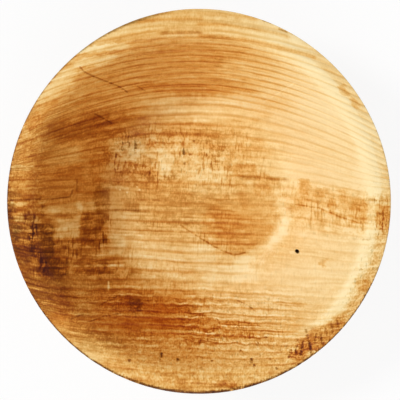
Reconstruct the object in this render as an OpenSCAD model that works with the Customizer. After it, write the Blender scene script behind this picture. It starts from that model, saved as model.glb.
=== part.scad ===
// Palm leaf bowl: one round of leaf sheath, pressed while wet and cut at the rim.
// Millimetres. +Z is up and the leaf's veins run along X. The origin is the middle
// of the flat base, on its underside.

/* [Bowl] */
// Mean diameter over the cut rim
bowl_d = 150; // [120:1:220]
// How much wider the rim has dried across the veins than along them
oval = 1.7; // [0:0.1:4]
// Height from the underside of the base to the top of the rim band
bowl_h = 40; // [28:1:60]
// Diameter of the flat floor
floor_d = 63; // [40:1:76]
// Radius inside the bend between floor and wall
floor_bend = 12; // [5:0.5:18]
// Width of the band around the rim
rim_w = 5; // [3:0.5:10]
// Radius over the bend between wall and rim band
rim_bend = 8; // [3.5:0.5:10]
// Fall of the rim band towards its cut edge, in degrees
rim_fall = 6; // [0:1:15]
// How far the dried rim lifts and dips around its level
rim_wave = 0.5; // [0:0.1:1.5]

/* [Leaf] */
// Thickness of the leaf at its middle vein
leaf_t = 2.2; // [1.4:0.1:3]
// How much thinner the leaf is at its outermost veins
leaf_thinning = 0.6; // [0:0.1:0.8]
// Number of veins across the leaf, which lie evenly over the bends at its middle
vein_count = 46; // [16:1:50]
// Height of a vein above the furrow beside it
vein_h = 0.25; // [0.05:0.05:0.35]
// Turn of the leaf in the bowl, in degrees
leaf_turn = -2.2; // [-20:0.1:20]
// Bow of the veins at the back of the bowl, as a share of its radius
bow_back = 0.26; // [0:0.01:0.3]
// Bow of the veins at the front of the bowl, where they curve the other way
bow_front = 0.1; // [0:0.01:0.25]

/* [Pit] */
// Diameter of the dark pinprick pit in the wall
pit_d = 1.2; // [0.8:0.1:2.5]
// Depth of the pit below the leaf's face
pit_depth = 0.9; // [0.3:0.1:1]
// Place of the pit along the veins
pit_x = 39.5; // [-45:0.1:45]
// Place of the pit across the veins
pit_y = -22.3; // [-45:0.1:45]

/* [Hidden] */

rim_r = bowl_d / 2;
floor_r = floor_d / 2;
band_r = rim_r - rim_w;

// The straight wall touches a bend at each end, which sets its slope in degrees
run = band_r - floor_r;
bend_sum = floor_bend + rim_bend;
bend_rise = bowl_h - leaf_t - bend_sum;
wall_slope = atan2(bend_rise, run) + asin(bend_sum / norm([run, bend_rise]));

// Radii where the stretches of a face meet, for a face that lies depth below the upper one
function wall_start(depth) = floor_r + (floor_bend + depth) * sin(wall_slope);
function wall_end(depth) = band_r - (rim_bend - depth) * sin(wall_slope);
function fall_start(depth) = band_r + (rim_bend - depth) * sin(rim_fall);

// Distance along the upper face, from its middle to where each stretch ends
to_wall = floor_r + floor_bend * wall_slope * PI / 180;
to_rim_bend = to_wall + (wall_end(0) - wall_start(0)) / cos(wall_slope);
to_fall = to_rim_bend + rim_bend * (wall_slope + rim_fall) * PI / 180;
to_edge = to_fall + (rim_r - fall_start(0)) / cos(rim_fall);

// Rows of points, counted in veins: one in each furrow, and two on the round of each vein.
// Close to the front and the back, end_rows adds more, which round the outline there.
shoulder = 0.3;
end_rows = [0.07, 0.16];
rows = [
    0, each end_rows,
    for (k = [0 : vein_count - 1]) each [
        if (k > 0) k,
        k + shoulder,
        k + 1 - shoulder
    ],
    vein_count - end_rows[1], vein_count - end_rows[0], vein_count
];
row_last = len(rows) - 1;

// Share of the rim's radius at which the veins' bow is full, at the back and at the front
back_reach = 0.6;
front_reach = 0.5;

// Distance between the points of a row on floor and wall, as a share of the rim's radius.
// From the top of the wall outwards, its points lie on rings instead.
station_step = 0.08;
rim_rings = ring_radii(0, 0, 0, 3);

// The underside is smooth, and its points lie on rings all the way
under_rings = ring_radii(leaf_t, 4, 3, 2);
sectors = 96;

// Facets of the pit's round wall
pit_fn = 48;
// The pit's cutter stands this far out of the leaf's face
pit_reach = 2;

// Radii at which a face that lies depth below the upper face bends, out to the rim
function ring_radii(depth, bend_steps, wall_steps, rim_steps) =
    let (
        inner = floor_bend + depth,
        outer = rim_bend - depth,
        wall = wall_end(depth) - wall_start(depth)
    )
    [
        for (k = [0 : 1 : bend_steps - 1]) floor_r + inner * sin(wall_slope * k / bend_steps),
        for (k = [0 : 1 : wall_steps - 1]) wall_start(depth) + wall * k / wall_steps,
        for (k = [rim_steps : -1 : 0]) band_r - outer * sin(wall_slope * k / rim_steps),
        rim_r
    ];

// Height at radius r of a face that lies depth below the leaf's upper face
function section_z(r, depth) =
    let (
        inner = floor_bend + depth,
        outer = rim_bend - depth,
        bend_z = leaf_t + floor_bend,
        top_z = bowl_h - rim_bend
    )
    r < floor_r ? bend_z - inner
    : r < wall_start(depth) ? bend_z - sqrt(pow(inner, 2) - pow(r - floor_r, 2))
    : r < wall_end(depth) ?
        bend_z - inner * cos(wall_slope) + (r - wall_start(depth)) * tan(wall_slope)
    : r < fall_start(depth) ? top_z + sqrt(pow(outer, 2) - pow(r - band_r, 2))
    : top_z + outer * cos(rim_fall) - (r - fall_start(depth)) * tan(rim_fall);

// The dried rim's slow wave, which fades out at the edge of the flat floor
function wave_z(r, angle) =
    rim_wave * pow(max(0, r - floor_r) / (rim_r - floor_r), 2) * cos(2 * angle);

// A point of the leaf, on a rim of radius 1, carried to the bowl at some depth in the leaf
function bowl_point(p, depth) =
    let (r = norm(p) * rim_r)
    [
        p.x * (rim_r - oval / 4),
        p.y * (rim_r + oval / 4),
        section_z(r, depth) + wave_z(r, atan2(p.y, p.x))
    ];

// Radius at some distance along the upper face from its middle
function radius_at(way) =
    way < floor_r ? way
    : way < to_wall ? floor_r + floor_bend * sin((way - floor_r) / floor_bend * 180 / PI)
    : way < to_rim_bend ? wall_start(0) + (way - to_wall) * cos(wall_slope)
    : way < to_fall ?
        band_r - rim_bend * sin(wall_slope - (way - to_rim_bend) / rim_bend * 180 / PI)
    : min(rim_r, fall_start(0) + (way - to_fall) * cos(rim_fall));

// Place of a row across the leaf at its middle, from -1 at the front to 1 at the back
function row_v(row) =
    let (way = (2 * rows[row] / vein_count - 1) * to_edge)
    row == 0 ? -1
    : row == row_last ? 1
    : sign(way) * radius_at(abs(way)) / rim_r;

// Depth of a row: the leaf is thinner outwards, and lower in each furrow
function row_depth(row) =
    leaf_thinning * pow(row_v(row), 2) + (rows[row] % 1 == 0 ? vein_h : 0);

// How far the vein at place v bows outwards, towards the back or the front
function bow(v) = bow_back * eased(v / back_reach) - bow_front * eased(-v / front_reach);
function eased(share) = let (s = max(0, min(1, share))) pow(s, 2) * (3 - 2 * s);

// Point of the leaf at distance x along the vein at place v, turned to its lie in the bowl
function leaf_point(v, x) =
    let (y = v - bow(v) * pow(x, 2))
    [x * cos(leaf_turn) - y * sin(leaf_turn), x * sin(leaf_turn) + y * cos(leaf_turn)];

// How far along the vein at place v it crosses a ring, as a share of the rim's radius
function crossing(v, share) =
    let (
        b = bow(v),
        lean = 1 - 2 * b * v,
        beyond = pow(share, 2) - pow(v, 2)
    )
    sqrt(2 * beyond / (lean + sqrt(pow(lean, 2) + 4 * pow(b, 2) * beyond)));

// Places along a row, with more put in where two of them lie far apart
function filled(places) = [
    for (i = [0 : 1 : len(places) - 2])
        let (
            gap = places[i + 1] - places[i],
            parts = ceil(gap / station_step)
        )
        for (k = [0 : parts - 1]) places[i] + gap * k / parts,
    if (len(places) > 0) places[len(places) - 1]
];

// Where the points of a row lie along its vein: at even steps, then on the rim's rings
function row_stations(v) =
    let (
        ends = filled([for (r = rim_rings) if (r / rim_r > abs(v)) crossing(v, r / rim_r)]),
        steps = len(ends) > 0 ? max(0, floor(ends[0] / station_step - 0.5)) : 0
    )
    [
        for (k = [len(ends) - 1 : -1 : 0]) -ends[k],
        for (k = [-steps : steps]) k * station_step,
        each ends
    ];

stations = [for (row = [0 : row_last]) row_stations(row_v(row))];
row_starts = [
    for (row = 0, start = 0; row <= row_last; start = start + len(stations[row]), row = row + 1)
        start
];

// The rim, counter-clockwise from the front: its points, and their place among the rows' own
rim = [
    for (row = [0 : row_last])
        leaf_point(row_v(row), stations[row][len(stations[row]) - 1]),
    for (row = [row_last - 1 : -1 : 1])
        leaf_point(row_v(row), stations[row][0])
];
rim_ids = [
    for (row = [0 : row_last]) row_starts[row] + len(stations[row]) - 1,
    for (row = [row_last - 1 : -1 : 1]) row_starts[row],
    0
];
front_angle = atan2(rim[0].y, rim[0].x);
rim_angles = [
    0,
    for (k = [1 : len(rim) - 1]) (atan2(rim[k].y, rim[k].x) - front_angle + 360) % 360,
    360
];
ring_angles = [for (k = [0 : sectors]) 360 * k / sectors];

upper_points = [
    for (row = [0 : row_last], x = stations[row])
        bowl_point(leaf_point(row_v(row), x), row_depth(row))
];
under_rim_points = [for (p = rim) bowl_point(p, leaf_t)];
under_ring_points = [
    for (ring = [0 : len(under_rings) - 2], k = [0 : sectors - 1])
        let (angle = front_angle + ring_angles[k])
        bowl_point([cos(angle), sin(angle)] * under_rings[ring] / rim_r, leaf_t)
];

// Indices of the points on the underside's rim and rings, each back to its first one
under_rim_ids = [for (k = [0 : len(rim)]) len(upper_points) + k % len(rim)];
function under_ids(ring) =
    ring == len(under_rings) - 1 ? under_rim_ids
    : let (first = len(upper_points) + len(rim) + ring * sectors)
    [for (k = [0 : sectors]) first + k % sectors];
function under_angles(ring) = ring == len(under_rings) - 1 ? rim_angles : ring_angles;

// Triangles between two lines of points, which go on by whichever line lags behind.
// places_a and places_b say how far along each point lies, and ids_a and ids_b name them.
function lags(a, b, i, j) = j == len(b) - 1 || (i < len(a) - 1 && a[i + 1] <= b[j + 1]);
function strip(places_a, places_b, ids_a, ids_b) = [
    for (
        i = 0, j = 0, on_a = lags(places_a, places_b, 0, 0);
        i < len(places_a) - 1 || j < len(places_b) - 1;
        i = on_a ? i + 1 : i,
        j = on_a ? j : j + 1,
        on_a = lags(places_a, places_b, i, j)
    )
        [ids_a[i], ids_b[j], on_a ? ids_a[i + 1] : ids_b[j + 1]]
];

function row_ids(row) = [for (k = [0 : len(stations[row]) - 1]) row_starts[row] + k];

// The leaf as one closed solid: veined upper face, smooth underside, cut edge and foot
module leaf() {
    polyhedron(
        points = concat(upper_points, under_rim_points, under_ring_points),
        faces = [
            for (row = [0 : row_last - 1])
                each strip(stations[row], stations[row + 1], row_ids(row), row_ids(row + 1)),
            for (ring = [0 : len(under_rings) - 2])
                each strip(
                    under_angles(ring), under_angles(ring + 1),
                    under_ids(ring), under_ids(ring + 1)
                ),
            each strip(rim_angles, rim_angles, under_rim_ids, rim_ids),
            [for (k = [0 : sectors - 1]) under_ids(0)[k]]
        ],
        convexity = 6
    );
}

// Cutter for the pit, square to the leaf's face where it stands
module pit() {
    r = norm([pit_x, pit_y]);
    probe = pit_d / 2;
    slope = atan2(section_z(r + probe, 0) - section_z(r - probe, 0), pit_d);
    translate([pit_x, pit_y, section_z(r, 0)])
        rotate([0, -slope, atan2(pit_y, pit_x)])
            translate([0, 0, -pit_depth])
                cylinder(d = pit_d, h = pit_depth + pit_reach, $fn = pit_fn);
}

module bowl() {
    color([0.82, 0.62, 0.36])
        difference() {
            leaf();
            pit();
        }
}

bowl();
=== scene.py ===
"""Palm leaf bowl: the finish of one pressed leaf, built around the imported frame.

The bowl is one piece, which replaces the frame's plain solid and keeps its form: a flat base,
a straight wall between two bends, a rim band and a cut edge, with the leaf's veins along X.
Lengths are in millimetres until a mesh is made, and Blender's own units are metres.
"""

import math
from collections import namedtuple

import bmesh
import bpy
import numpy as np
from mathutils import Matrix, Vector


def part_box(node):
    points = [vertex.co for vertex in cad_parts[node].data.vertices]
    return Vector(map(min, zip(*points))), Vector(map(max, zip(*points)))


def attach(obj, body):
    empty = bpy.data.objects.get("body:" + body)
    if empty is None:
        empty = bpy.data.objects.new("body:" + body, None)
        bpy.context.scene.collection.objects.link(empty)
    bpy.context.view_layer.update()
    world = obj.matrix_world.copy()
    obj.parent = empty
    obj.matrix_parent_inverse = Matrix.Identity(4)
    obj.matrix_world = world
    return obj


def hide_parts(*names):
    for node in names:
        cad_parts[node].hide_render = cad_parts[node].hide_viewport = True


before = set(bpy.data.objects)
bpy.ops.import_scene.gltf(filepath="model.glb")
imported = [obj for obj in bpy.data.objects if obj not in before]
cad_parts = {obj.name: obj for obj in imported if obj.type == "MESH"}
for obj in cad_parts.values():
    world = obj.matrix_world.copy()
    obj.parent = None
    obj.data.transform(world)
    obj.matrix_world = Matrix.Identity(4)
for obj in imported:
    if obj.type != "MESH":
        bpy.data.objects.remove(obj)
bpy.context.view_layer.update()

MM = 0.001

# The form of the bowl. Its reach comes from the frame, and the rest is the frame's own section.
box_low, box_high = (np.array(corner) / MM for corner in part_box("bowl"))
RIM_X, RIM_Y = (box_high[:2] - box_low[:2]) / 2
RIM_R = (RIM_X + RIM_Y) / 2
BOWL_H = 40.0
FLOOR_R = 31.5
FLOOR_BEND = 12.0
BAND_R = RIM_R - 5.0
RIM_BEND = 8.0
RIM_FALL = math.radians(6)
RIM_WAVE = 0.5
LEAF_T = 2.2
LEAF_THINNING = 0.6
LEAF_TURN = math.radians(-2.2)
BOW_BACK = 0.26
BOW_FRONT = 0.1
BACK_REACH = 0.6
FRONT_REACH = 0.5
VEINS = 46
FURROW_DEPTH = 0.25
FURROW_STEEPNESS = 3.5
UNDER_RIDGE = 0.08
UNDER_RIDGE_EASE = 3.0
OUTLINE_LOBES = 0.15

# The pinprick pit, which the frame has too
PIT_X, PIT_Y = 39.5, -22.3
PIT_R = 0.6
PIT_DEPTH = 0.9
PIT_WALL = 0.2

# The photograph's frame, in pixels: the bowl's middle, and the radius of its rim
PHOTO_SIZE = 400
PHOTO_MIDDLE = (199.0, 203.5)
PHOTO_RIM = 192.56
MM_PER_PIXEL = RIM_R / PHOTO_RIM
CAMERA_AWAY = 900.0
CAMERA_TILT = math.radians(6)

# The size of the mesh: rows of points across each vein, the steps along it, the least share
# of a step before the rim, and how far the smaller faces reach around marks and the pit
ROWS_PER_VEIN = 7
UPPER_STEP = 0.72
UNDER_STEP = 2.0
LEAST_STEP = 0.4
END_ROWS = [0.02, 0.05, 0.09]
MARK_MARGIN = 1.5
PIT_MARGIN = 1.2
FINER_CUTS = 2
UPPER, UNDER, EDGE = range(3)


# The section of the bowl

BEND_SUM = FLOOR_BEND + RIM_BEND
RUN = BAND_R - FLOOR_R
BEND_RISE = BOWL_H - LEAF_T - BEND_SUM
WALL_SLOPE = math.atan2(BEND_RISE, RUN) + math.asin(BEND_SUM / math.hypot(RUN, BEND_RISE))
WALL_SIN, WALL_COS = math.sin(WALL_SLOPE), math.cos(WALL_SLOPE)

# Radii where the upper face's stretches meet, and the way along it from the middle to each
WALL_START = FLOOR_R + FLOOR_BEND * WALL_SIN
WALL_END = BAND_R - RIM_BEND * WALL_SIN
FALL_START = BAND_R + RIM_BEND * math.sin(RIM_FALL)
TO_WALL = FLOOR_R + FLOOR_BEND * WALL_SLOPE
TO_RIM_BEND = TO_WALL + (WALL_END - WALL_START) / WALL_COS
TO_FALL = TO_RIM_BEND + RIM_BEND * (WALL_SLOPE + RIM_FALL)
TO_EDGE = TO_FALL + (RIM_R - FALL_START) / math.cos(RIM_FALL)


def radius_at(way):
    """Radius at some way along the upper face from its middle."""
    if way < FLOOR_R:
        return way
    if way < TO_WALL:
        return FLOOR_R + FLOOR_BEND * math.sin((way - FLOOR_R) / FLOOR_BEND)
    if way < TO_RIM_BEND:
        return WALL_START + (way - TO_WALL) * WALL_COS
    if way < TO_FALL:
        return BAND_R - RIM_BEND * math.sin(WALL_SLOPE - (way - TO_RIM_BEND) / RIM_BEND)
    return min(RIM_R, FALL_START + (way - TO_FALL) * math.cos(RIM_FALL))


def section_z(r, depth):
    """Height at radius r of a face that lies depth below the leaf's upper face."""
    inner = FLOOR_BEND + depth
    outer = RIM_BEND - depth
    wall_start = FLOOR_R + inner * WALL_SIN
    wall_end = BAND_R - outer * WALL_SIN
    fall_start = BAND_R + outer * math.sin(RIM_FALL)
    bend_z = LEAF_T + FLOOR_BEND
    top_z = BOWL_H - RIM_BEND
    bend = bend_z - np.sqrt(np.maximum(inner**2 - np.maximum(r - FLOOR_R, 0) ** 2, 0))
    wall = bend_z - inner * WALL_COS + (r - wall_start) * math.tan(WALL_SLOPE)
    crown = top_z + np.sqrt(np.maximum(outer**2 - (r - BAND_R) ** 2, 0))
    fall = top_z + outer * math.cos(RIM_FALL) - (r - fall_start) * math.tan(RIM_FALL)
    return np.select([r < wall_start, r < wall_end, r < fall_start], [bend, wall, crown], fall)


def wave_z(r, angle):
    """The dried rim's slow wave."""
    return RIM_WAVE * (np.maximum(0, r - FLOOR_R) / (RIM_R - FLOOR_R)) ** 2 * np.cos(2 * angle)


# Sums that the shapes and the paint share


def smooth(x):
    """Smooth step of x, from 0 to 1."""
    x = np.clip(x, 0, 1)
    return x * x * (3 - 2 * x)


# Odd numbers that scatter neighbouring places, and the 32 bits that the results are kept to
MIX_I, MIX_J, MIX_SEED, MIX_AGAIN = 374761393, 668265263, 97531, 1274126177
KEPT_BITS = 0xFFFFFFFF


def lattice(i, j, seed):
    """A fixed random number from 0 to 1 for each whole place (i, j)."""
    mixed = (i.astype(np.int64) * MIX_I + j.astype(np.int64) * MIX_J) & KEPT_BITS
    mixed = (mixed + seed * MIX_SEED) & KEPT_BITS
    mixed = ((mixed ^ (mixed >> 13)) * MIX_AGAIN) & KEPT_BITS
    return ((mixed ^ (mixed >> 16)) & 0xFFFF) / 0xFFFF


def cloud(x, y, seed):
    """Smooth noise from 0 to 1, with features about one unit wide."""
    i, j = np.floor(x), np.floor(y)
    s, t = smooth(x - i), smooth(y - j)
    front = lattice(i, j, seed) * (1 - s) + lattice(i + 1, j, seed) * s
    back = lattice(i, j + 1, seed) * (1 - s) + lattice(i + 1, j + 1, seed) * s
    return front * (1 - t) + back * t


# The leaf: x lies along a vein and v across them, both as shares of the rim's radius


def bow(v):
    """How far the vein at place v bows outwards, towards the back or the front."""
    return BOW_BACK * smooth(v / BACK_REACH) - BOW_FRONT * smooth(-v / FRONT_REACH)


def leaf_point(v, x):
    """Plan point, on a rim of radius 1, at distance x along the vein at place v."""
    y = v - bow(v) * x * x
    cos, sin = math.cos(LEAF_TURN), math.sin(LEAF_TURN)
    return x * cos - y * sin, x * sin + y * cos


def vein_end(v):
    """How far along the vein at place v it meets the rim."""
    b = bow(v)
    lean = 1 - 2 * b * v
    beyond = 1 - v * v
    return math.sqrt(2 * beyond / (lean + math.sqrt(lean**2 + 4 * b * b * beyond)))


def vein_place(vein):
    """Place across the leaf, from -1 to 1, of a vein count. Veins lie evenly over the bends."""
    way = (2 * vein / VEINS - 1) * TO_EDGE
    return math.copysign(radius_at(abs(way)) / RIM_R, way)


def row_counts():
    """Vein counts of the rows of points, with more of them near each end for the outline."""
    last = VEINS * ROWS_PER_VEIN
    inner = [k / ROWS_PER_VEIN for k in range(1, last)]
    return [0, *END_ROWS, *inner, *[VEINS - row for row in reversed(END_ROWS)], VEINS]


def face_triangles(stations, starts):
    """Triangles between each row and the next, going on by whichever row lags behind."""
    triangles = []
    for row in range(len(stations) - 1):
        a, b = stations[row], stations[row + 1]
        a_start, b_start = starts[row], starts[row + 1]
        i = j = 0
        while i < len(a) - 1 or j < len(b) - 1:
            if j == len(b) - 1 or (i < len(a) - 1 and a[i + 1] <= b[j + 1]):
                triangles.append((a_start + i, a_start + i + 1, b_start + j))
                i += 1
            else:
                triangles.append((a_start + i, b_start + j + 1, b_start + j))
                j += 1
    return triangles


def face_sheet(step):
    """One face of the leaf laid flat: points (x, v, vein), triangles, and its rim in order."""
    counts = row_counts()
    places = [-1.0, *[vein_place(count) for count in counts[1:-1]], 1.0]
    stations = []
    for v in places:
        end = vein_end(v)
        count = max(0, math.floor(end * RIM_R / step - LEAST_STEP))
        inner = [step / RIM_R * k for k in range(-count, count + 1)]
        stations.append([-end, *inner, end] if abs(v) < 1 else [0.0])
    starts = [0]
    for row in stations:
        starts.append(starts[-1] + len(row))
    points = [(x, v, n) for v, n, row in zip(places, counts, stations) for x in row]
    right = [starts[row + 1] - 1 for row in range(len(places))]
    left = [starts[row] for row in range(len(places) - 2, 0, -1)]
    return points, face_triangles(stations, starts), right + left


def flat_leaf():
    """The whole leaf laid flat, as (x, v, vein, side), with its faces and their surfaces."""
    upper, upper_triangles, upper_rim = face_sheet(UPPER_STEP)
    under, under_triangles, under_rim = face_sheet(UNDER_STEP)
    shift = len(upper)
    points = [(*p, UPPER) for p in upper] + [(*p, UNDER) for p in under]
    faces = list(upper_triangles)
    faces += [(c + shift, b + shift, a + shift) for a, b, c in under_triangles]
    surfaces = [UPPER] * len(upper_triangles) + [UNDER] * len(under_triangles)
    for k, here in enumerate(upper_rim):
        after = (k + 1) % len(upper_rim)
        faces.append((shift + under_rim[k], shift + under_rim[after], upper_rim[after], here))
        surfaces.append(EDGE)
    return points, faces, surfaces


# The form of the leaf in the bowl


def lay_points(flat):
    """Plan radius and angle of flat points, and the share by which each reaches outwards."""
    x_share, v = flat[:, 0], flat[:, 1]
    px, py = leaf_point(v, x_share)
    r = np.hypot(px, py)
    angle = np.arctan2(py, px)
    lobes = 1 + OUTLINE_LOBES / RIM_R * r**4 * np.cos(4 * angle)
    return px * lobes, py * lobes, r * RIM_R, angle


def furrow(vein):
    """How near a vein count lies to a furrow, from 0 on a plateau to 1 in the furrow."""
    return smooth(1 - np.abs(vein - np.round(vein)) * FURROW_STEEPNESS)


def formed(flat, relief):
    """Places in millimetres of flat points, with the relief's depth taken off the upper face."""
    v, vein, side = flat[:, 1:].T
    px, py, r, angle = lay_points(flat)
    upper_depth = LEAF_THINNING * v**2 + relief
    eased = smooth((r - FLOOR_R) / UNDER_RIDGE_EASE)
    under_depth = LEAF_T - UNDER_RIDGE * furrow(vein) * eased
    depth = np.where(side == UPPER, upper_depth, under_depth)
    z = section_z(r, depth) + wave_z(r, angle)
    return np.stack([px * RIM_X, py * RIM_Y, z], axis=1)


def photo_pixels(places):
    """Where places on the bowl lie in the photograph's frame."""
    x, y, z = places.T
    z = z - BOWL_H
    nearer = y * math.sin(CAMERA_TILT) + z * math.cos(CAMERA_TILT)
    up = y * math.cos(CAMERA_TILT) - z * math.sin(CAMERA_TILT)
    scale = CAMERA_AWAY / (CAMERA_AWAY - nearer) / MM_PER_PIXEL
    return PHOTO_MIDDLE[0] + x * scale, PHOTO_MIDDLE[1] - up * scale


# The stains on the leaf's upper face, placed by the photograph's pixels. Tannin is the orange
# that soaks into the pale fibre, and brown is the dark of old sap and of the hot press. The same
# two amounts also paint light and shade: more of them is painted shade, and less of them is a
# painted highlight or painted light.
# An edge of 2 fades from a dab's middle outwards, and one near 0 ends sharply, as a block
# between veins and cross-veins.

Dab = namedtuple("Dab", "x y reach_x reach_y turn edge tannin brown")
Grain = namedtuple(
    "Grain", "x y reach_x reach_y turn edge furrow ridge ticks ruffle rough thread"
)
Streak = namedtuple("Streak", "x_from x_to y width tannin brown")
Mark = namedtuple("Mark", "path width tannin brown depth")
Band = namedtuple("Band", "start end inner outer fade tannin brown")

BASE_TANNIN = 1.0
BASE_BROWN = 0.02

WASHES = [
    # The paler right half
    Dab(325, 160, 95, 120, 0, 1.6, -0.71, 0),
    Dab(310, 265, 80, 70, 0, 1.6, -0.42, 0),
    Dab(318, 82, 66, 40, -38, 1.2, -0.2, 0),
    Dab(272, 32, 46, 14, -12, 1.0, -0.35, 0),
    # A painted highlight on the rim's bend to the right
    Dab(372, 150, 14, 40, 0, 1.0, -0.3, 0),
    # The left wall with the sweep across its upper part, painted shade over the wall's stain,
    # and the front of the floor
    Dab(56, 172, 62, 86, 0, 1.4, 0.75, 0.01),
    Dab(86, 129, 56, 18, 14, 1.2, 1.0, 0.13),
    Dab(74, 113, 32, 15, 16, 1.2, 0.35, 0.06),
    Dab(48, 165, 22, 14, 0, 1.2, 0.3, 0),
    Dab(165, 276, 50, 12, 0, 1.2, 0.3, 0),
    Dab(130, 290, 14, 6, 0, 1.0, 0.3, 0),
    Dab(67, 155, 14, 9, 0, 1.0, -0.4, 0.03),
    Dab(66, 170, 16, 7, 10, 1.0, 0.45, 0.04),
    Dab(30, 150, 12, 12, 0, 1.0, 0.5, 0.05),
    Dab(90, 172, 7, 7, 0, 1.0, -0.3, 0),
    Dab(94, 156, 14, 8, 0, 1.0, 0.6, 0.05),
    Dab(56, 190, 44, 22, 0, 1.3, 1.0, 0.08),
    # The back wall, with brown taken off as painted light that lifts its shade
    Dab(168, 80, 95, 34, 0, 1.2, 0.88, -0.08),
    Dab(200, 50, 66, 12, -4, 1.2, 0.45, -0.05),
    # The lower left wall and rim
    Dab(66, 277, 56, 50, 0, 1.3, 1.5, 0.12),
    Dab(100, 232, 40, 36, 0, 1.3, -0.3, 0),
    Dab(100, 301, 26, 20, 0, 1.0, -0.8, 0.02),
    Dab(64, 295, 12, 8, 0, 1.0, 0.6, 0),
    Dab(92, 337, 28, 10, -18, 1.0, 0.5, 0.2),
    Dab(20, 228, 20, 34, 0, 1.3, 0.8, 0.12),
    Dab(22, 192, 12, 10, 0, 1.0, -0.5, -0.1),
    Dab(9, 225, 9, 30, 0, 1.0, 0.3, 0.7),
    Dab(12, 185, 9, 30, 0, 1.2, 0.3, 0.15),
    Dab(40, 284, 28, 20, -50, 1.2, 0.6, 0.5),
    # The front wall and the rim in front, with some brown taken off as painted light that lifts
    # their shade
    Dab(136, 311, 54, 20, -2, 1.4, 2.4, -0.1),
    Dab(134, 305, 24, 12, 0, 1.2, 0.1, 0.2),
    Dab(170, 340, 50, 18, 0, 1.2, 0.5, -0.1),
    Dab(160, 342, 60, 22, 0, 1.3, 0.6, 0),
    Dab(280, 348, 50, 24, 20, 1.2, 0.35, 0),
    Dab(190, 388, 80, 14, 0, 1.2, 0.3, 0.06),
    Dab(168, 372, 54, 18, 0, 1.2, 0.3, -0.05),
    Dab(244, 330, 42, 12, 0, 1.3, 0.15, -0.04),
    # The middle of the floor
    Dab(170, 155, 76, 32, 0, 1.4, 0.6, 0),
    Dab(116, 236, 12, 46, 0, 1.0, 0.1, -0.08),
    Dab(132, 152, 15, 13, 0, 1.0, 0.15, -0.15),
    Dab(188, 214, 52, 24, 0, 1.2, 0.8, 0.12),
    Dab(252, 222, 36, 36, 0, 1.2, 0.9, 0),
    Dab(240, 228, 30, 20, 0, 1.0, 0, -0.12),
    # The band across the right
    Dab(342, 210, 62, 19, -6, 1.0, 0.75, 0),
    # Smaller patches all over the leaf, the last of them on its upper left
    Dab(228, 350, 26, 8, 0, 1.0, -0.3, 0),
    Dab(312, 328, 14, 8, 0, 1.0, -0.4, 0),
    Dab(235, 68, 22, 10, 0, 1.0, -0.35, 0),
    Dab(86, 310, 14, 10, 0, 1.0, -0.4, 0),
    Dab(322, 246, 30, 18, 0, 1.2, 0.25, 0),
    Dab(230, 274, 24, 9, 0, 1.0, -0.45, 0),
    Dab(200, 10, 60, 6, 0, 1.0, -0.4, 0),
    Dab(262, 48, 60, 8, -14, 1.0, -0.2, 0),
    Dab(245, 92, 26, 8, 0, 1.0, -0.35, 0),
    Dab(244, 112, 26, 8, 0, 1.0, 0.3, 0),
    Dab(38, 134, 20, 22, 0, 1.2, -0.5, 0),
    Dab(108, 108, 16, 10, 0, 1.0, -0.35, 0),
    Dab(148, 112, 12, 6, 0, 1.0, 0.3, 0),
]

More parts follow.
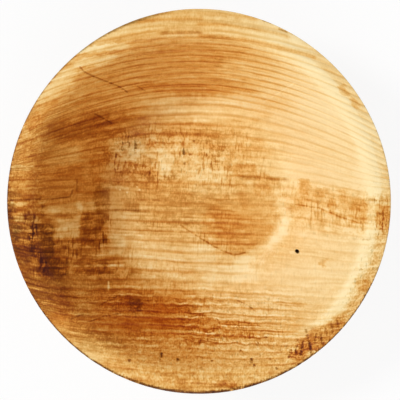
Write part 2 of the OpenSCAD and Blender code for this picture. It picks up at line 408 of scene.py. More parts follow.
STAINS = [
    # Pale and orange patches of the upper left rim
    Dab(56, 86, 26, 8, 40, 0.8, -0.8, -0.05),
    # Two painted highlights along the upper left rim
    Dab(103, 48, 28, 4, 4, 0.5, -0.9, 0),
    Dab(94, 61, 22, 4, 8, 0.6, -0.9, -0.05),
    Dab(46, 107, 11, 6, 52, 0.6, 0.5, 0),
    Dab(33, 121, 9, 7, 60, 0.6, 0.9, 0),
    Dab(21, 168, 12, 3, 0, 0.4, -1.1, -0.05),
    # The dark sweep: painted shade across the upper left wall, over its stain
    Dab(80, 129, 32, 9, 16, 1.0, 0.7, 0.18),
    Dab(116, 122, 26, 5, 6, 1.0, 0.5, 0.05),
    # Bands across the back of the floor
    Dab(195, 89, 62, 5, -2, 0.8, 0.6, 0),
    Dab(194, 107, 68, 12, -2, 0.8, -0.75, -0.05),
    Dab(172, 133, 70, 4.5, 0, 0.4, 0.5, 0.05),
    Dab(212, 148, 14, 11, 0, 0.6, 0.3, 0.1),
    # The speckled pale patch, with the brown and the pale places around it
    Dab(127, 147, 19, 9, 0, 0.25, -0.55, -0.02),
    Dab(110, 157, 9, 6, 0, 0.4, 0.7, 0.15),
    Dab(150, 158, 24, 11, -20, 0.25, -0.6, -0.04),
    Dab(160, 176, 18, 5, 0, 0.4, 0.3, 0.2),
    Dab(192, 163, 32, 16, -6, 0.25, -0.6, -0.06),
    Dab(250, 150, 16, 12, 0, 1.0, 0.3, 0),
    Dab(210, 153, 14, 9, 0, 0.5, 0.5, 0.06),
    Dab(214, 192, 26, 7, -4, 0.5, -0.4, 0),
    Dab(230, 208, 12, 7, 0, 0.6, -0.45, 0),
    Dab(217, 165, 8, 6, 0, 0.6, 0.6, 0.12),
    Dab(150, 144, 4, 5, 0, 0.6, 0.9, 0.1),
    Dab(124, 174, 36, 12, -8, 0.2, 0.6, 0.04),
    Dab(106, 180, 8, 9, 0, 0.6, -0.5, -0.05),
    Dab(132, 207, 8, 4, 0, 0.3, 0.6, 0.15),
    # Orange blots of the right half
    Dab(246, 170, 11, 6, 0, 0.3, 0.7, 0.03),
    Dab(262, 184, 8, 11, 0, 0.5, 0.7, 0.04),
    Dab(274, 181, 5, 3, 0, 0.3, 0.6, 0.03),
    Dab(303.5, 187, 5.5, 8, 0, 0.3, 0.8, 0),
    Dab(304, 201, 6.5, 5, 0, 0.3, 0.4, 0),
    Dab(321, 192.5, 8, 5, 0, 0.3, 0.35, 0),
    Dab(332, 207, 3, 9, 0, 0.3, 0.6, 0),
    Dab(343.5, 201, 5, 12, 0, 0.3, 0.35, 0),
    Dab(359.5, 211, 8, 12, 0, 0.3, 0.6, 0),
    Dab(384, 217, 8, 12, 0, 0.35, 1.2, 0),
    Dab(345, 90, 6, 4, -60, 0.6, 0.7, 0),
    Dab(353, 103, 6, 4, -55, 0.6, 0.7, 0),
    # The left rim, red brown under light dashes
    Dab(24, 238, 11, 26, -8, 0.5, 0.1, 0.4),
    Dab(19, 204, 10, 2.5, 0, 0.4, -1.6, -0.3),
    Dab(20, 216, 5, 4, 0, 0.5, -1.4, -0.3),
    Dab(17, 230, 5, 2, 0, 0.5, -1.3, -0.3),
    # The scorched blocks of the left wall, and pale ones between them
    Dab(65, 208, 18, 5, 0, 0.4, -0.9, -0.1),
    Dab(94, 229, 14, 17, 0, 0.3, 1.4, 0.35),
    Dab(102, 199, 8, 13, 0, 0.3, 0.8, 0.3),
    Dab(42, 241, 12, 17, 0, 0.3, 1.1, 0.7),
    Dab(68, 228, 12, 9, 0, 0.3, -0.9, -0.25),
    Dab(86, 206, 10, 4, 0, 0.3, -0.8, -0.1),
    Dab(53, 267, 15, 9, 0, 0.3, 1.3, 0.55),
    Dab(70, 249, 17, 11, 0, 0.3, 0.75, 0.2),
    Dab(112, 246, 13, 9, 0, 0.6, -0.8, -0.1),
    Dab(90, 268, 17, 7, 0, 0.3, 0.8, 0.2),
    Dab(113, 275, 22, 7, 0, 0.8, 0.5, 0.15),
    Dab(23, 252, 6, 8, 0, 0.5, 0.5, 0.1),
    # The pale floor, which ends sharply to the left
    Dab(163, 250, 53, 42, 0, 0.2, -0.35, -0.05),
    # Bands of the front wall
    Dab(150, 306, 42, 6, -3, 0.8, 0.5, 0),
    Dab(135.5, 306, 6, 7, 0, 0.2, 0.6, 0.4),
    Dab(176, 318, 30, 9, -3, 0.8, 0.6, 0),
    Dab(204, 328, 8, 5, 0, 0.5, 0.3, 0),
    Dab(232, 325, 26, 4, 0, 0.5, 0.9, 0),
    Dab(242, 335, 20, 4, 0, 0.5, 0.9, 0),
    Dab(186, 334, 30, 6, -3, 0.8, 0.6, 0),
    Dab(290, 304, 15, 2.5, 0, 0.5, 0.5, 0.03),
    # The rim, in front and to the right
    Dab(92, 351, 15, 7, -42, 0.6, -0.4, 0),
    Dab(60, 318, 8, 9, -45, 0.6, 0.4, 0),
    Dab(318, 339, 32, 9, 40, 0.8, 1.3, 0.08),
    Dab(304, 349, 12, 6, 35, 0.6, 0.7, 0.05),
    Dab(368, 272, 10, 52, -22, 0.8, 0.35, 0.02),
    Dab(226, 384, 9, 3, 0, 0.6, 0.9, 0.05),
    Dab(210, 389, 44, 5, 0, 0.8, 0.4, 0.08),
    # The amber patch of the floor, and two blots to the right of it
    Dab(236, 232, 34, 19, -16, 0.3, 0.4, 0),
    Dab(324, 264, 3, 4, 0, 0.8, 0.6, 0.02),
    Dab(360, 284, 6, 7, -30, 0.8, 0.6, 0),
]

# Lines that follow one vein, with their width as a share of the gap between veins
STREAKS = [
    Streak(150, 260, 12.8, 0.35, 0.7, 0),
    Streak(135, 205, 19, 0.35, 0.8, 0.05),
    Streak(195, 292, 28, 0.35, 0.8, 0),
    Streak(158, 204, 32, 0.3, 1.1, 0.25),
    Streak(196, 318, 42, 0.4, 1.0, 0.05),
    Streak(211, 226, 59, 0.3, 0.8, 0.3),
    Streak(211, 226, 65.7, 0.3, 0.8, 0.3),
    Streak(239, 248, 80, 0.3, 0.8, 0.2),
    Streak(118, 156, 173, 0.2, 0.7, 0.15),
    Streak(118, 162, 200, 0.2, 0.7, 0.15),
    Streak(108, 152, 210.5, 0.22, 0.9, 0.4),
    Streak(132, 202, 223, 0.22, 0.5, 0.15),
    Streak(236, 290, 178, 0.3, 0.8, 0.2),
    Streak(375, 391, 213.4, 0.25, 0.9, 0.3),
    Streak(375, 391, 223, 0.25, 0.9, 0.3),
    Streak(366, 390, 200, 0.25, 0.7, 0.2),
    Streak(359, 374, 240, 0.2, 0.8, 0.2),
    Streak(110, 200, 315, 0.35, -1.5, -0.1),
    Streak(140, 205, 331, 0.35, -1.5, -0.1),
    Streak(18, 40, 265, 0.4, -0.8, -0.2),
    Streak(22, 44, 276, 0.4, -0.8, -0.2),
]

# Creases, scratches and specks. Their width is in pixels and their depth in millimetres.
MARKS = [
    # Creases and scratches, mostly of the walls
    Mark([(80, 67), (85, 72), (95, 77), (108, 82), (120, 87), (127, 92)], 1.3, 0.8, 0.4, 0.2),
    Mark([(137, 86), (145, 91)], 1.1, 0.5, 0.25, 0.15),
    Mark([(95, 114), (105, 119), (111, 123)], 1.3, 0.8, 0.4, 0.2),
    Mark([(77, 180), (77, 191)], 1.6, 0.7, 0.35, 0.1),
    Mark([(11, 200), (50, 199), (70, 197), (73, 190)], 1.3, 0.8, 0.5, 0.15),
    Mark([(264, 20), (271, 23)], 1.3, 0.8, 0.5, 0.1),
    Mark([(279, 29), (287, 32)], 1.3, 0.8, 0.5, 0.1),
    Mark([(98, 306.5), (108, 301), (119, 296)], 1.2, 0.6, 0.35, 0.2),
    Mark([(89, 322), (104, 316.5), (120, 313.5)], 1.2, 0.6, 0.35, 0.2),
    Mark([(71, 319), (84, 314)], 1.2, 0.6, 0.3, 0.15),
    Mark([(180, 225), (200, 238), (213, 246), (223, 251), (234, 255.5), (245, 253)],
         1.5, 0.9, 0.2, 0.25),
    Mark([(216.6, 318.6), (220.4, 325)], 1.2, 0.7, 0.3, 0.2),
    # A painted highlight: the pale gloss arc where the floor bends up into the wall, around the
    # amber patch
    Mark([(280, 205), (286, 218), (283, 232), (264, 247), (240, 263)], 10, -0.75, -0.02, 0),
    # Creases and dashes of the front wall, the right and the left wall
    Mark([(238, 301), (247, 304.6), (256, 312)], 1.2, 0.6, 0.25, 0.2),
    Mark([(296, 205), (319, 208), (327.5, 212), (340, 217), (359, 223)], 1.4, 0.8, 0.12, 0.1),
    Mark([(363, 224), (363, 230)], 1.5, 0.7, 0.15, 0.1),
    Mark([(264, 102), (280, 92), (294, 83)], 1.3, -0.25, -0.03, 0.1),
    Mark([(108.4, 282), (108.4, 290)], 1.8, -1.8, -0.2, 0.05),
    Mark([(42.5, 205), (42.5, 214)], 3, 0.5, 0.4, 0.05),
    # The cross-veins of the rim to the front right
    Mark([(291, 350), (289, 357)], 2, 0.9, 0.5, 0.15),
    Mark([(297, 346), (296, 353)], 1.8, 0.9, 0.5, 0.15),
    Mark([(303, 342), (301, 355)], 2.2, 1.0, 0.7, 0.2),
    Mark([(306, 330), (308, 338)], 1.8, 0.9, 0.5, 0.1),
    Mark([(309, 341), (312, 355)], 2.4, 1.1, 0.9, 0.25),
    Mark([(316, 334), (315, 342)], 1.8, 0.9, 0.5, 0.1),
    Mark([(321, 335), (323, 344)], 2, 0.9, 0.6, 0.15),
    Mark([(326, 327), (327, 335)], 1.8, 0.9, 0.5, 0.1),
    Mark([(332, 325), (333, 333)], 1.8, 0.9, 0.5, 0.1),
    Mark([(337, 320), (338, 326)], 1.8, 0.9, 0.4, 0.1),
    # Specks and knots of the right and of the front
    Mark([(362, 269.5)], 1.6, 0.8, 0.5, 0.1),
    Mark([(331, 213)], 2, 1.0, 0.2, 0.1),
    Mark([(161.5, 354), (161, 358)], 2.4, 1.2, 1.3, 0.25),
    Mark([(178, 359.5)], 2.5, 1.2, 1.3, 0.25),
    Mark([(129.5, 360.7)], 2.4, 1.2, 1.1, 0.25),
    Mark([(124, 374.7)], 1.6, 1.8, 0.7, 0.2),
    Mark([(251.6, 359), (251.8, 362)], 1.9, 1.2, 1.0, 0.2),
    Mark([(254, 365), (254.5, 367)], 1.8, 1.2, 0.9, 0.2),
    Mark([(276.5, 368.4)], 2.1, 1.2, 1.0, 0.2),
    Mark([(212, 360.7)], 1.6, 1.8, 0.7, 0.2),
    Mark([(240.8, 350.5)], 1.6, 1.8, 0.6, 0.2),
    Mark([(265.7, 337.8)], 2.2, 1.2, 0.9, 0.2),
    Mark([(258, 343)], 1.6, 1.8, 0.6, 0.2),
    # Ticks and specks of the speckled patch
    Mark([(122.5, 143), (122, 150)], 2, 0.9, 0.7, 0.1),
    Mark([(123, 143), (129, 142), (129, 147)], 1.6, 0.9, 0.6, 0.1),
    Mark([(135.5, 141), (135.5, 153)], 2, 0.9, 0.8, 0.1),
    Mark([(183.5, 150), (184, 154)], 2.1, 0.9, 1.1, 0.2),
    Mark([(190, 155)], 2.2, 1.6, 0.6, 0.2),
    Mark([(184.5, 163.5)], 2, 0.8, 1.0, 0.2),
    Mark([(194, 141)], 1.6, 1.5, 0.7, 0.2),
    # Pale flecks in front of it, and a crease between them
    Mark([(120, 190)], 1.8, -1.6, -0.2, 0.05),
    Mark([(127, 192.5)], 1.6, -1.6, -0.2, 0.05),
    Mark([(137, 187)], 1.6, -1.6, -0.2, 0.05),
    Mark([(139.5, 190)], 1.6, -1.6, -0.2, 0.05),
    Mark([(118, 183), (125, 180), (131, 176)], 1.2, 0.7, 0.15, 0.1),
]

# How strongly the veins' dark lines of painted shade, the painted highlights of their pale
# ridges, the cross-veins, the ruffles, the rough fibre and the threads show, from place to place
BASE_GRAIN = (0.3, 0.25, 0.2, 0.1, 0.1, 0.15)
GRAINS = [
    # The back wall, where the veins show as plain lines
    Grain(160, 75, 120, 45, 0, 1.0, 0.75, 0.7, 0.1, 0, 0, 0),
    Grain(290, 95, 80, 55, -25, 1.0, 0.5, 0.35, -0.1, 0, 0, 0),
    # The woven middle of the floor
    Grain(185, 160, 84, 36, 0, 0.6, 0.4, 0.3, 0.9, 0, 0.35, 0.3),
    Grain(172, 158, 62, 20, -6, 0.3, -0.1, 0, 1.0, 0, 0.5, 0),
    Grain(150, 116, 75, 14, -2, 0.8, 0.3, 0.7, 0, 0, 0, 0.5),
    Grain(168, 255, 75, 40, 0, 0.8, 0.9, 0.9, 1.0, 0, 0.2, 1.4),
    Grain(300, 275, 70, 40, 0, 1.0, 0, 0.1, 0.2, 0.1, 0.15, 0.8),
    # The scorched left wall, and the lines in front of it
    Grain(68, 240, 46, 36, 0, 0.6, 0.1, 0.2, 1.1, 0.1, 0.1, 0.3),
    Grain(105, 290, 75, 30, 0, 1.0, 0.1, 0.6, 0, 0.3, 0.2, 0.3),
    # The ruffled front wall and the rough rim below it
    Grain(150, 320, 85, 24, 0, 0.8, 0.2, 0.9, 0.3, 0.3, 0.3, 0.4),
    Grain(238, 320, 56, 28, 0, 0.8, 1.3, 1.2, 0.9, 0.4, 0.7, 2.4),
    Grain(215, 362, 110, 28, 0, 0.8, 0.4, 0.3, 0.3, 0.3, 0.75, 0.2),
    Grain(318, 340, 34, 16, 38, 0.6, 0, 0.2, 0.6, 0.3, 0.5, 0),
    # The mottled band across the right, and the rims
    Grain(330, 212, 64, 26, -6, 0.5, 0.2, 0.1, 1.3, 0, 0.45, 0),
    Grain(384, 205, 12, 40, 0, 0.5, 0.2, 0, 0.4, 0.2, 0.35, 0),
    Grain(368, 272, 12, 56, -22, 0.7, 0, 0, 0.5, 0.2, 1.0, 0),
    Grain(25, 165, 20, 75, 0, 0.6, 0.2, 0.2, 0.2, 0.3, 0.35, 0),
]

# The under side is browner, with plainer veins
UNDER_STAIN = (1.3, 0.22)
UNDER_GRAIN = (0.8, 0.5, 0.3, 0.2, 0.2, 0.3)

# How the edge of a stain wanders: its reach in pixels, its length along the leaf in
# millimetres, and the seed of its noise
Drift = namedtuple("Drift", "reach length seed")
VEIN_DRIFT = Drift(12, 15, 1)
THIRD_DRIFT = Drift(8, 5, 3)
TICK_DRIFT = Drift(5, 1.3, 2)
SLOW_DRIFT = Drift(5, 7, 4)

# Veins, and thirds of a vein, each wander by themselves, so their noise lies this far apart
VEINS_APART = 7.3
THIRDS_APART = 5.1

# Washes take the whole drift and stains less of it, and a dab with a sharp edge takes little
STAIN_DRIFT = 0.8
EDGE_DRIFT = 1.2
STAIN_SHARPER = 2

# Dabs with a sharp edge are nearly square, and the others are rounded
BLOCK_EDGE = 0.35
BLOCK_POWER, ROUND_POWER = 8, 3

# The lengths over which streaks end, in pixels, and bands, in degrees
STREAK_FADE = 5
BAND_FADE = 15

# What the pinprick adds as painted shade in its pit, and the least tannin and brown of any place
PIT_SHADE = (1, 4)
LEAST_STAIN = (0.1, 0)

# Stretches of the rim band and of the strip beside the cut edge, by angle in degrees and radius
# in millimetres. They paint light and shade as well as colour.
BANDS = [
    # The rim band darker to the right, partly its own orange and partly painted shade
    Band(-48, 62, 70.4, 78, 1.0, 0.25, 0),
    # A painted highlight on the rim's bend to the right
    Band(-52, 60, 64.5, 71.5, 2.5, -0.35, 0),
    # The rim band paler to the upper left, as painted light
    Band(100, 158, 70.0, 77, 2.0, -0.2, -0.03),
    # Painted shade along the cut edge, on the left and round the front
    Band(95, 190, 74.2, 76, 0.6, 0.2, 0.8),
    Band(200, 345, 74.2, 76, 0.5, 0.8, 1.5),
]


def cover(dab, x, y, sharper=1.0):
    """How much of a dab lies at each place."""
    turn = math.radians(dab.turn)
    dx, dy = x - dab.x, dab.y - y
    u = np.abs(dx * math.cos(turn) + dy * math.sin(turn)) / dab.reach_x
    w = np.abs(dy * math.cos(turn) - dx * math.sin(turn)) / dab.reach_y
    power = ROUND_POWER if dab.edge > BLOCK_EDGE else BLOCK_POWER
    distance = (u**power + w**power) ** (1 / power)
    edge = dab.edge / sharper
    return smooth((1 + edge / 2 - distance) / edge)


def streak_cover(streak, vein, x, y):
    """How much of a streak lies at each place, along the vein through its middle."""
    middle = (streak.x_from + streak.x_to) / 2
    own = vein[np.argmin(np.hypot(x - middle, y - streak.y))]
    ends = smooth((x - streak.x_from) / STREAK_FADE)
    ends = ends * smooth((streak.x_to - x) / STREAK_FADE)
    return ends * smooth(1 - np.abs(vein - own) / streak.width)


def mark_cover(mark, x, y):
    """How much of a mark lies at each place, from 1 on its path to 0 beside it."""
    nearest = np.full(len(x), np.inf)
    for (ax, ay), (bx, by) in zip(mark.path, mark.path[1:] or mark.path):
        ux, uy = bx - ax, by - ay
        share = ((x - ax) * ux + (y - ay) * uy) / max(ux * ux + uy * uy, 1e-9)
        share = np.clip(share, 0, 1)
        nearest = np.minimum(nearest, np.hypot(x - ax - share * ux, y - ay - share * uy))
    return smooth(1 - nearest / mark.width)


def pit_cover(places):
    """How deep each place lies in the pinprick, from 0 beside it to 1 at its bottom."""
    away = np.hypot(places[:, 0] - PIT_X, places[:, 1] - PIT_Y)
    return smooth((PIT_R + PIT_WALL - away) / PIT_WALL)


def band_cover(band, r, angle):
    """How much of a band lies at each place, by its radius and its angle in degrees."""
    turned = (angle - band.start) % 360
    left = band.end - band.start - turned
    share = smooth(turned / BAND_FADE) * smooth(left / BAND_FADE)
    share = share * smooth((r - band.inner) / band.fade)
    return share * smooth((band.outer - r) / band.fade)


def drifted(along, across, drift):
    """How far a drift shifts each place, in pixels."""
    return drift.reach * (cloud(along / drift.length, across, drift.seed) - 0.5)


def painted(along, vein, places):
    """Tannin and brown at places of the upper face, for its stains and for its painted light and
    shade.
    """
    x, y = photo_pixels(places)
    wander_x = drifted(along, np.floor(vein) * VEINS_APART, VEIN_DRIFT)
    wander_x += drifted(along, np.floor(vein * 3) * THIRDS_APART, THIRD_DRIFT)
    wander_y = drifted(along, vein / 4, TICK_DRIFT)
    wander_y += drifted(along, vein / 2, SLOW_DRIFT)
    stain_and_light = np.tile([BASE_TANNIN, BASE_BROWN], (len(x), 1))
    for dabs, most, sharper in ((WASHES, 1, 1), (STAINS, STAIN_DRIFT, STAIN_SHARPER)):
        for dab in dabs:
            drift = most * min(1, dab.edge * EDGE_DRIFT)
            share = cover(dab, x + drift * wander_x, y + drift * wander_y, sharper)
            stain_and_light += np.outer(share, [dab.tannin, dab.brown])
    r = np.hypot(places[:, 0], places[:, 1])
    angle = np.degrees(np.arctan2(places[:, 1], places[:, 0]))
    for band in BANDS:
        stain_and_light += np.outer(band_cover(band, r, angle), [band.tannin, band.brown])
    for streak in STREAKS:
        stain_and_light += np.outer(streak_cover(streak, vein, x, y), [streak.tannin, streak.brown])
    stain_and_light = np.maximum(stain_and_light, LEAST_STAIN)
    for mark in MARKS:
        stain_and_light += np.outer(mark_cover(mark, x, y), [mark.tannin, mark.brown])
    # Painted shade inside the pinprick
    stain_and_light += np.outer(pit_cover(places), PIT_SHADE)
    return np.maximum(stain_and_light, LEAST_STAIN)


def grained(places):
    """Strengths of the six kinds of grain at places of the upper face."""
    x, y = photo_pixels(places)
    grain = np.tile(BASE_GRAIN, (len(x), 1))
    for dab in GRAINS:
        grain += np.outer(cover(dab, x, y), dab[-6:])
    return np.maximum(grain, 0)


def refined(flat, faces, surfaces):
    """The flat leaf with smaller faces where a mark or the pit lies on its upper face."""
    places = formed(flat, 0)
    x, y = photo_pixels(places)
    away = np.hypot(places[:, 0] - PIT_X, places[:, 1] - PIT_Y)
    near = away < PIT_R + PIT_MARGIN
    for mark in MARKS:
        if mark.depth > 0:
            wider = mark._replace(width=mark.width + MARK_MARGIN)
            near |= mark_cover(wider, x, y) > 0
    rim = np.zeros(len(flat), bool)
    for face, surface in zip(faces, surfaces):
        if surface == EDGE:
            rim[list(face)] = True
    near &= (flat[:, 3] == UPPER) & ~rim

    work = bmesh.new()
    points = [work.verts.new(point[:3]) for point in flat.tolist()]
    for face, surface in zip(faces, surfaces):
        work.faces.new([points[k] for k in face]).material_index = surface
    work.verts.index_update()
    edges = [e for e in work.edges if near[e.verts[0].index] and near[e.verts[1].index]]
    bmesh.ops.subdivide_edges(work, edges=edges, cuts=FINER_CUTS, use_grid_fill=True)
    work.verts.index_update()
    sides = flat[:, 3].tolist() + [UPPER] * (len(work.verts) - len(flat))
    flat = np.array([(*point.co, side) for point, side in zip(work.verts, sides)])
    faces = [[point.index for point in face.verts] for face in work.faces]
    surfaces = [face.material_index for face in work.faces]
    work.free()
    return flat, faces, surfaces


def make_bowl(materials):
    """The one piece, with the materials of its upper face, its under face and its edge."""
    flat, faces, surfaces = flat_leaf()
    flat, faces, surfaces = refined(np.array(flat, float), faces, surfaces)
    along, vein = flat[:, 0] * RIM_R, flat[:, 2]
    upper = flat[:, 3] == UPPER
    smooth_places = formed(flat, 0)
    x, y = photo_pixels(smooth_places)
    relief = FURROW_DEPTH * furrow(vein)
    for mark in MARKS:
        relief += mark.depth * mark_cover(mark, x, y)
    relief += PIT_DEPTH * pit_cover(smooth_places)
    places = formed(flat, relief)

    under = (~upper)[:, None]
    stain_and_light = np.where(under, UNDER_STAIN, painted(along, vein, smooth_places))
    grain = np.where(under, UNDER_GRAIN, grained(smooth_places))

    mesh = bpy.data.meshes.new("pressed_leaf")
    mesh.from_pydata((places * MM).tolist(), [], faces)
    mesh.polygons.foreach_set("material_index", surfaces)
    mesh.polygons.foreach_set("use_smooth", [s != EDGE for s in surfaces])
    put_attribute(mesh, "leaf", "FLOAT_VECTOR", "vector", [along, vein, np.zeros(len(x))])
    put_attribute(mesh, "stain_and_light", "FLOAT_COLOR", "color", [*stain_and_light.T, *grain.T[:2]])
    put_attribute(mesh, "grain", "FLOAT_COLOR", "color", grain.T[2:])
    for material in materials:
        mesh.materials.append(material)
    mesh.update()
    piece = bpy.data.objects.new("pressed_leaf", mesh)
    bpy.context.scene.collection.objects.link(piece)
    return piece


def put_attribute(mesh, name, kind, field, columns):
    """Gives a mesh an attribute of its points, for the shaders."""
    values = np.stack(columns, axis=1).astype(np.float32)
    mesh.attributes.new(name, kind, "POINT").data.foreach_set(field, values.ravel())


# Materials


class Shading:
    """Short calls that add nodes to one new material."""

    def __init__(self, name):
        self.material = bpy.data.materials.new(name)
        self.material.use_nodes = True
        self.tree = self.material.node_tree
        self.shader = self.tree.nodes["Principled BSDF"]

    def node(self, kind, values=(), **settings):
        """A node of some kind, with its inputs fed by sockets, numbers or lists."""
        node = self.tree.nodes.new("ShaderNode" + kind)
        for key, setting in settings.items():
            setattr(node, key, setting)
        for socket, value in dict(values).items():
            self.feed(node.inputs[socket], value)
        return node

    def feed(self, socket, value):
        if isinstance(value, bpy.types.NodeSocket):
            self.tree.links.new(value, socket)
        else:
            socket.default_value = value

    def math(self, operation, *values, clamp=False):
        node = self.node("Math", enumerate(values), operation=operation, use_clamp=clamp)
        return node.outputs[0]

    def total(self, first, *rest):
        """Sum of some values."""
        for value in rest:
            first = self.math("ADD", first, value)
        return first

    def times(self, a, b):
        return self.math("MULTIPLY", a, b)

    def attribute(self, name):
        return self.node("Attribute", attribute_name=name)

    def noise(self, x, y, seed, detail=0.0):
        """Smooth noise around 0, from about -0.5 to 0.5."""
        place = self.node("CombineXYZ", [(0, x), (1, y), (2, float(seed))]).outputs[0]
        values = {"Vector": place, "Scale": 1.0, "Detail": detail}
        node = self.node("TexNoise", values)
        return self.math("SUBTRACT", node.outputs[0], 0.5)

    def step(self, value, zero_at, one_at):
        """Smooth step of a value, from 0 at one level to 1 at another."""
        values = enumerate([value, zero_at, one_at])
        node = self.node("MapRange", values, interpolation_type="SMOOTHSTEP")
        return node.outputs[0]


# The pale fibre's own colour, and how much red, green and blue each stain takes from it
FIBRE = (0.965, 0.79, 0.46)
TANNIN_TAKES = (0.17, 0.48, 1.05)
BROWN_TAKES = (1.0, 1.12, 1.5)

# The gloss of the pressed face and of the cut edge, and the depth of their bumps in
# millimetres
FACE_GLOSS = 0.14
EDGE_GLOSS = 0.2
FACE_BUMP = 0.2
EDGE_BUMP = 0.15

# Bundles of fibre, and patches of pith, for each metre of the cut edge
BUNDLE_SCALE = 1100.0
PITH_SCALE = 160.0


def tinted(s, tannin, brown):
    """Colour of the fibre under given amounts of the two stains, which also stand for painted
    light and shade.
    """
    channels = []
    for own, by_tannin, by_brown in zip(FIBRE, TANNIN_TAKES, BROWN_TAKES):
        taken = s.math("MULTIPLY_ADD", tannin, -by_tannin, s.times(brown, -by_brown))
        channels.append(s.times(s.math("EXPONENT", taken), own))
    node = s.node("CombineColor", enumerate(channels))
    return node.outputs[0]


def leaf_face():
    """The upper and the under face: veins, cross-veins and streaks, which stains follow."""
    s = Shading("leaf_face")
    leaf = s.attribute("leaf")
    along, vein, _ = s.node("SeparateXYZ", [(0, leaf.outputs["Vector"])]).outputs
    stain_and_light = s.attribute("stain_and_light")
    grain = s.attribute("grain")
    tannin, brown, furrows = s.node("SeparateColor", [(0, stain_and_light.outputs["Color"])]).outputs
    ridges = stain_and_light.outputs["Alpha"]
    ticks, ruffle, rough = s.node("SeparateColor", [(0, grain.outputs["Color"])]).outputs
    threads = grain.outputs["Alpha"]

    def cells(across, per_mm, per_vein, seed, detail=0.0):
        """Noise with so many cells per millimetre along the leaf and per vein across."""
        return s.noise(s.times(along, per_mm), s.times(across, per_vein), seed, detail)

    # Veins sway a little, and are ruffled where the wall was crushed
    sway = cells(vein, 0.06, 0.4, 4)
    wavy = cells(vein, 0.2, 0.45, 5, detail=1.5)
    place = s.total(vein, s.times(sway, 0.3), s.times(wavy, ruffle))

    # Streaks and strands run far along the leaf, and the rest break it up more and more
    streaks = cells(place, 0.07, 1.1, 1, detail=2.0)
    strands = cells(place, 0.09, 3.2, 3, detail=2.0)
    woven = cells(place, 0.5, 1.8, 6, detail=2.0)
    fine = cells(place, 1.5, 3.5, 11, detail=1.0)
    lane = s.math("FLOOR", s.times(place, 2.0))
    blocks = cells(lane, 0.28, 3.7, 7)
    hairs = s.step(cells(place, 0.05, 2.3, 15, detail=1.0), 0.06, 0.16)
    dashes = s.step(cells(place, 0.45, 2.0, 12), 0.1, 0.24)
    specks = s.step(cells(place, 1.0, 1.4, 13), 0.16, 0.26)

    # Cross-veins stand in clusters, each a short stroke across a few veins
    ribs = cells(place, 1.2, 0.8, 8, detail=1.0)
    clusters = s.step(cells(place, 0.13, 0.3, 9), -0.04, 0.14)
    stroke = s.math("SUBTRACT", s.step(ribs, -0.05, 0.25), 0.35)
    tick = s.times(s.times(stroke, s.math("MULTIPLY_ADD", clusters, 0.8, 0.2)), ticks)

    mottle = s.total(
        s.times(streaks, 1.1),
        s.times(strands, 1.5),
        s.times(blocks, s.math("MULTIPLY_ADD", ticks, 0.8, 0.5)),
        s.times(woven, s.math("MULTIPLY_ADD", rough, 1.8, 0.5)),
        s.times(fine, s.math("MULTIPLY_ADD", rough, 1.6, 0.85)),
        s.times(hairs, 0.3),
        s.times(s.times(dashes, rough), -0.6),
        s.times(tick, 0.9),
    )
    mottle = s.math("MAXIMUM", mottle, -0.8)

    # Furrows get dark lines of painted shade, ridges pale lines of painted highlight beside
    # them, and threads finer dark ones
    from_furrow = s.math("PINGPONG", place, 0.5)
    patchy = s.math("MULTIPLY_ADD", cells(vein, 0.05, 1.0, 10), 2.5, 0.7, clamp=True)
    furrow_shade_line = s.times(s.times(s.step(from_furrow, 0.22, 0.03), furrows), patchy)
    beside = s.math("SUBTRACT", s.math("FRACT", place), 0.38)
    bright = s.math("MULTIPLY_ADD", cells(vein, 0.06, 1.0, 14), 2.5, 0.7, clamp=True)
    ridge_highlight_line = s.step(s.math("ABSOLUTE", beside), 0.22, 0.04)
    ridge_highlight_line = s.times(s.times(ridge_highlight_line, ridges), bright)
    apart = s.math("MULTIPLY_ADD", cells(vein, 0.04, 0.6, 16), 0.9, place)
    from_thread = s.math("PINGPONG", s.times(apart, 2.3), 0.5)
    thread_line = s.times(s.times(s.step(from_thread, 0.3, 0.08), threads), bright)

    # Darker fibres are browner as well as more orange. In a brown place the pale fibres lose
    # all their share of the brown, and the dark ones gain less than half of theirs.
    lines = s.math("MULTIPLY_ADD", ridge_highlight_line, -0.4, s.times(furrow_shade_line, 0.35))
    lines = s.math("MULTIPLY_ADD", thread_line, 0.3, lines)
    held = s.math("DIVIDE", s.times(tannin, 1.25), s.math("MULTIPLY_ADD", tannin, 0.25, 1.0))
    spread = s.times(held, s.math("ADD", mottle, lines))
    uneven = s.times(s.math("MINIMUM", mottle, s.times(mottle, 0.45)), brown)
    brown = s.total(brown, uneven, s.times(spread, 0.13))
    brown = s.math("MULTIPLY_ADD", s.times(specks, rough), 0.2, brown)
    brown = s.math("MULTIPLY_ADD", furrow_shade_line, 0.03, brown)
    brown = s.math("MAXIMUM", brown, 0.0)
    tannin = s.math("MULTIPLY_ADD", spread, 0.75, tannin)
    tannin = s.math("MULTIPLY_ADD", furrow_shade_line, 0.5, tannin)
    s.feed(s.shader.inputs["Base Color"], tinted(s, tannin, brown))
    s.feed(s.shader.inputs["Roughness"], s.math("MULTIPLY_ADD", woven, 0.25, 0.36))
    s.shader.inputs["Specular IOR Level"].default_value = FACE_GLOSS

    height = s.total(
        s.times(strands, 0.5),
        s.times(woven, 0.5),
        s.times(fine, 0.4),
        s.times(furrow_shade_line, -0.5),
        s.times(tick, -0.3),
        s.times(s.times(specks, rough), -0.5),
    )
    bump = s.node("Bump", {"Height": height, "Distance": FACE_BUMP * MM, "Strength": 0.4})
    s.feed(s.shader.inputs["Normal"], bump.outputs[0])
    return s.material


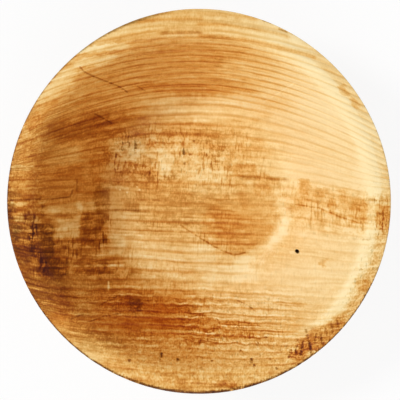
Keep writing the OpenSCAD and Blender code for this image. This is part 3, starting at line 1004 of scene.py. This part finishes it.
def leaf_edge():
    """The cut edge: dark ends of the fibre bundles in paler pith."""
    s = Shading("leaf_edge")
    place = s.node("TexCoord").outputs["Object"]
    ends = s.node("TexVoronoi", {"Vector": place, "Scale": BUNDLE_SCALE})
    pith = s.node("TexNoise", {"Vector": place, "Scale": PITH_SCALE, "Detail": 2.0})
    patches = pith.outputs[0]
    bundles = s.step(ends.outputs["Distance"], 0.5, 0.15)
    tannin = s.total(s.times(patches, 1.6), s.times(bundles, 0.8), 0.4)
    brown = s.total(s.times(patches, 0.5), s.times(bundles, 0.5), 0.05)
    s.feed(s.shader.inputs["Base Color"], tinted(s, tannin, brown))
    s.shader.inputs["Roughness"].default_value = 0.75
    s.shader.inputs["Specular IOR Level"].default_value = EDGE_GLOSS
    bump = s.node("Bump", {"Height": bundles, "Distance": EDGE_BUMP * MM, "Strength": 0.6})
    s.feed(s.shader.inputs["Normal"], bump.outputs[0])
    return s.material


# The stage

Sun = namedtuple("Sun", "name power spread come_from")
SUNS = [
    Sun("key", 1.59, 16, Vector((-0.9, 0.42, 1.0))),
    Sun("front", 1.0, 60, Vector((0.15, -1.0, 0.6))),
]
FILL = 0.5

# The floor: its reach in metres, its drop below the bowl in millimetres, how white it is, and
# the share of plain white that the camera sees over it
FLOOR_REACH = 2
FLOOR_DROP = 0.05
FLOOR_WHITE = (0.9, 0.9, 0.9, 1)
FLOOR_GLOW = 0.88

# The camera's sensor in millimetres, and how far it sees in metres
SENSOR_WIDTH = 36
SEES_TO = 10


def make_world():
    """A surrounding that is white to the camera and in gloss, and fainter as fill light."""
    world = bpy.data.worlds.new("studio")
    bpy.context.scene.world = world
    world.use_nodes = True
    tree = world.node_tree
    background = tree.nodes["Background"]
    background.inputs["Color"].default_value = (1, 1, 1, 1)
    path = tree.nodes.new("ShaderNodeLightPath")
    seen = path.outputs["Is Camera Ray"]
    for ray in ("Is Glossy Ray", "Is Transmission Ray"):
        either = tree.nodes.new("ShaderNodeMath")
        either.operation = "MAXIMUM"
        tree.links.new(seen, either.inputs[0])
        tree.links.new(path.outputs[ray], either.inputs[1])
        seen = either.outputs[0]
    level = tree.nodes.new("ShaderNodeMapRange")
    level.inputs["To Min"].default_value = FILL
    level.inputs["To Max"].default_value = 1
    tree.links.new(seen, level.inputs["Value"])
    tree.links.new(level.outputs[0], background.inputs["Strength"])


def make_sun(sun):
    """A lamp that shines from one direction, as wide as its spread in degrees."""
    light = bpy.data.lights.new(sun.name, "SUN")
    light.energy = sun.power
    light.angle = math.radians(sun.spread)
    lamp = bpy.data.objects.new(sun.name, light)
    lamp.rotation_euler = (-sun.come_from).to_track_quat("-Z", "Y").to_euler()
    bpy.context.scene.collection.objects.link(lamp)


def make_floor():
    """A white floor that shows the bowl's shadow faintly, and looks white to the camera."""
    mesh = bpy.data.meshes.new("floor")
    turns = ((-1, -1), (1, -1), (1, 1), (-1, 1))
    corners = [(x * FLOOR_REACH, y * FLOOR_REACH, 0) for x, y in turns]
    mesh.from_pydata(corners, [], [(0, 1, 2, 3)])
    floor = bpy.data.objects.new("floor", mesh)
    floor.location.z = -FLOOR_DROP * MM
    material = bpy.data.materials.new("white_floor")
    material.use_nodes = True
    tree = material.node_tree
    tree.nodes.remove(tree.nodes["Principled BSDF"])
    diffuse = tree.nodes.new("ShaderNodeBsdfDiffuse")
    diffuse.inputs["Color"].default_value = FLOOR_WHITE
    glow = tree.nodes.new("ShaderNodeEmission")
    path = tree.nodes.new("ShaderNodeLightPath")
    share = tree.nodes.new("ShaderNodeMath")
    share.operation = "MULTIPLY"
    share.inputs[1].default_value = FLOOR_GLOW
    mix = tree.nodes.new("ShaderNodeMixShader")
    tree.links.new(path.outputs["Is Camera Ray"], share.inputs[0])
    tree.links.new(share.outputs[0], mix.inputs[0])
    tree.links.new(diffuse.outputs[0], mix.inputs[1])
    tree.links.new(glow.outputs[0], mix.inputs[2])
    tree.links.new(mix.outputs[0], tree.nodes["Material Output"].inputs["Surface"])
    mesh.materials.append(material)
    bpy.context.scene.collection.objects.link(floor)


def make_camera():
    """A camera with the photograph's framing, which looks down from a little to the back."""
    data = bpy.data.cameras.new("camera")
    data.sensor_width = SENSOR_WIDTH
    data.clip_end = SEES_TO
    data.lens = data.sensor_width * CAMERA_AWAY / (PHOTO_SIZE * MM_PER_PIXEL)
    camera = bpy.data.objects.new("camera", data)
    camera.rotation_euler = (-CAMERA_TILT, 0, 0)
    turned = camera.rotation_euler.to_matrix()
    off_x = (PHOTO_SIZE / 2 - PHOTO_MIDDLE[0]) * MM_PER_PIXEL
    off_y = (PHOTO_MIDDLE[1] - PHOTO_SIZE / 2) * MM_PER_PIXEL
    from_rim = turned @ Vector((off_x, off_y, CAMERA_AWAY))
    camera.location = (Vector((0, 0, BOWL_H)) + from_rim) * MM
    bpy.context.scene.collection.objects.link(camera)
    bpy.context.scene.camera = camera


face = leaf_face()
bowl = make_bowl([face, face, leaf_edge()])
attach(bowl, "root")
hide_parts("bowl")

bpy.context.scene.view_settings.view_transform = "Standard"
make_world()
for sun in SUNS:
    make_sun(sun)
make_floor()
make_camera()
